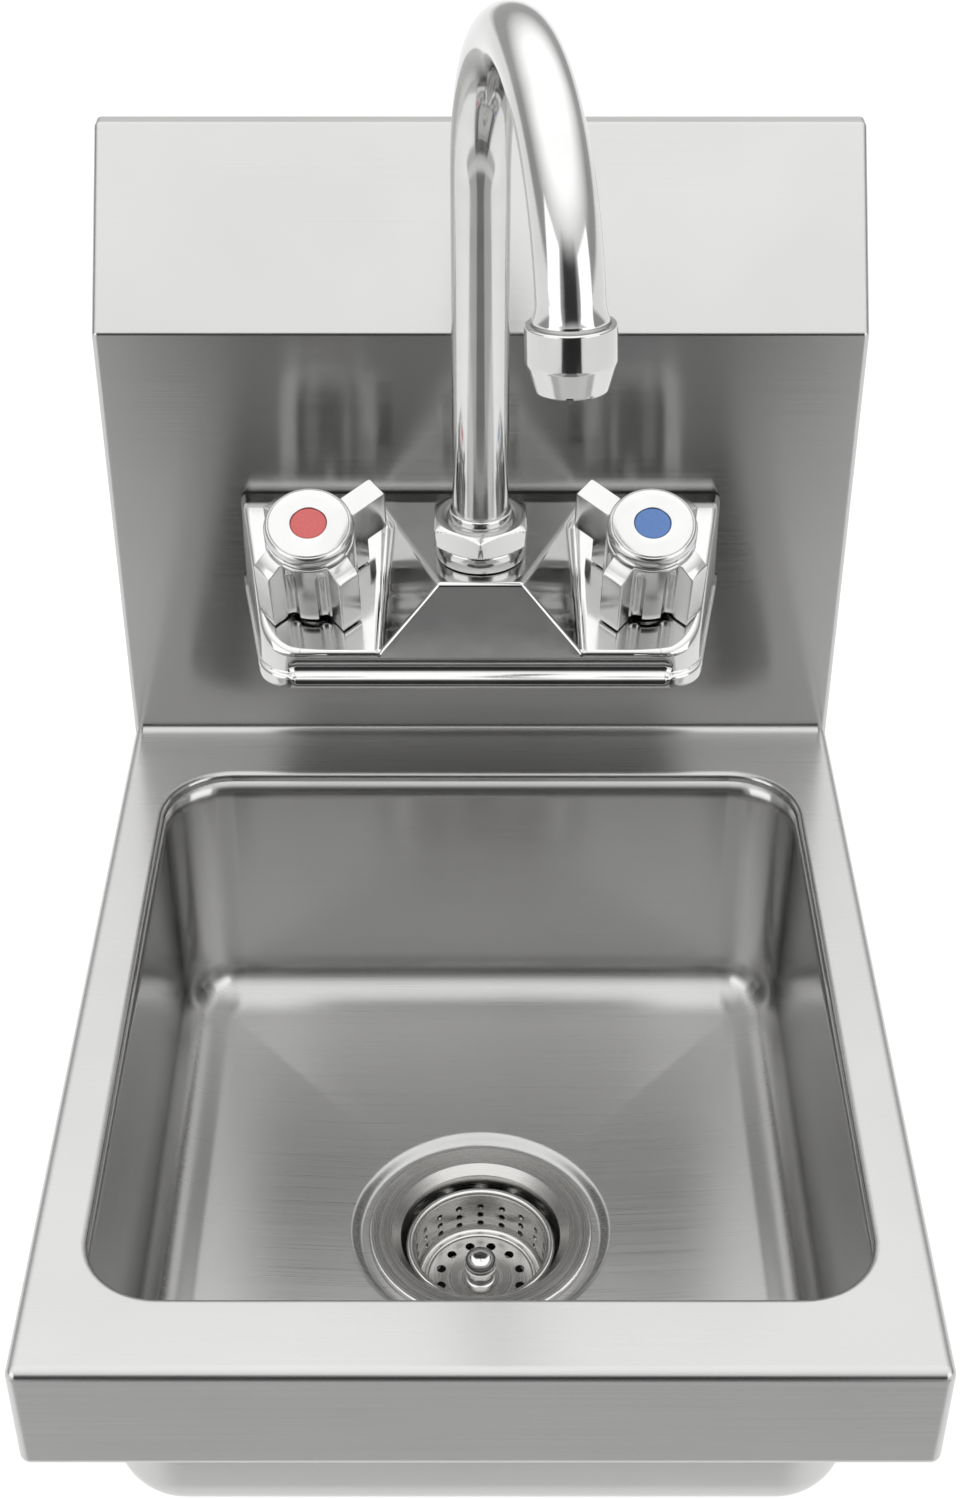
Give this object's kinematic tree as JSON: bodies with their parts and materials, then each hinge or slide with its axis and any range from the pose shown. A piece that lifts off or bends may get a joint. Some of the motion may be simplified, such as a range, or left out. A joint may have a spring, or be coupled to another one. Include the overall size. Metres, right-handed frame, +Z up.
{
  "type": "wall-mounted hand sink",
  "caption": "Small stainless hand sink hung on a wall bracket, with sloped-top backsplash, gooseneck swivel faucet, quarter-turn handles and lift-out basket strainer.",
  "frame": {"origin": "middle of the wall bracket's line of two screw holes, on the wall plane", "axes": "+X to the user's right along the wall, +Y into the wall, +Z up; the user stands on the -Y side"},
  "size_m": [0.3048, 0.411, 0.6354],
  "materials": {
    "brushed_sheet": "long horizontal brush grain, satin",
    "bracket_steel": "plain mill finish",
    "polished_chrome": "bright polished plating",
    "strainer_steel": "drawn and turned, half bright",
    "valve_brass": "machined",
    "nut_alloy": "die cast, satin",
    "tail_chrome": "bright plating",
    "black_rubber": "matt moulded rubber",
    "white_plastic": "moulded",
    "fibre_ring": "pressed fibre",
    "hot_red": "gloss",
    "cold_blue": "gloss"
  },
  "bodies": {
    "sink": {"deck": "brushed_sheet", "backsplash": "brushed_sheet", "bowl": "brushed_sheet", "wall_bracket": "bracket_steel", "strainer_body": "strainer_steel", "sink_gasket": "black_rubber", "friction_ring": "fibre_ring", "strainer_locknut": "nut_alloy", "tailpiece_washer": "white_plastic", "tailpiece": "tail_chrome", "slip_nut": "tail_chrome", "faucet_body": "polished_chrome", "faucet_gasket": "black_rubber", "spout_nut": "polished_chrome", "thrust_ring": "white_plastic", "inlet_shank_hot": "valve_brass", "inlet_washer_hot": "black_rubber", "inlet_nut_hot": "valve_brass", "cartridge_hot": "valve_brass", "bonnet_nut_hot": "polished_chrome", "inlet_shank_cold": "valve_brass", "inlet_washer_cold": "black_rubber", "inlet_nut_cold": "valve_brass", "cartridge_cold": "valve_brass", "bonnet_nut_cold": "polished_chrome"},
    "spout": {"spout_foot": "valve_brass", "spout_o_rings": "black_rubber", "spout": "polished_chrome", "aerator_shell": "polished_chrome", "aerator_washer": "black_rubber", "aerator_insert": "white_plastic"},
    "basket": {"basket": "strainer_steel", "basket_knob": "polished_chrome", "basket_stopper": "black_rubber"},
    "handle_hot": {"handle_hot": "polished_chrome", "index_hot": "hot_red", "handle_screw_hot": "bracket_steel", "stem_hot": "valve_brass"},
    "handle_cold": {"handle_cold": "polished_chrome", "index_cold": "cold_blue", "handle_screw_cold": "bracket_steel", "stem_cold": "valve_brass"}
  },
  "joints": [
    {"name": "spout_swivel", "type": "hinge", "parent": "sink", "child": "spout", "pos_m": [0, -0.108, -0.08], "axis": [0, 0, 1], "range_deg": [-141, 119]},
    {"name": "handle_hot_turn", "type": "hinge", "parent": "sink", "child": "handle_hot", "pos_m": [-0.0655, -0.108, -0.10869], "axis": [0, -0.4226, 0.9063], "range_deg": [0, 90]},
    {"name": "handle_cold_turn", "type": "hinge", "parent": "sink", "child": "handle_cold", "pos_m": [0.0655, -0.108, -0.10869], "axis": [0, -0.4226, 0.9063], "range_deg": [-90, 0]},
    {"name": "basket_lift", "type": "slide", "parent": "sink", "child": "basket", "axis": [0, 0, 1], "range_m": [0, 0.06]}
  ]
}
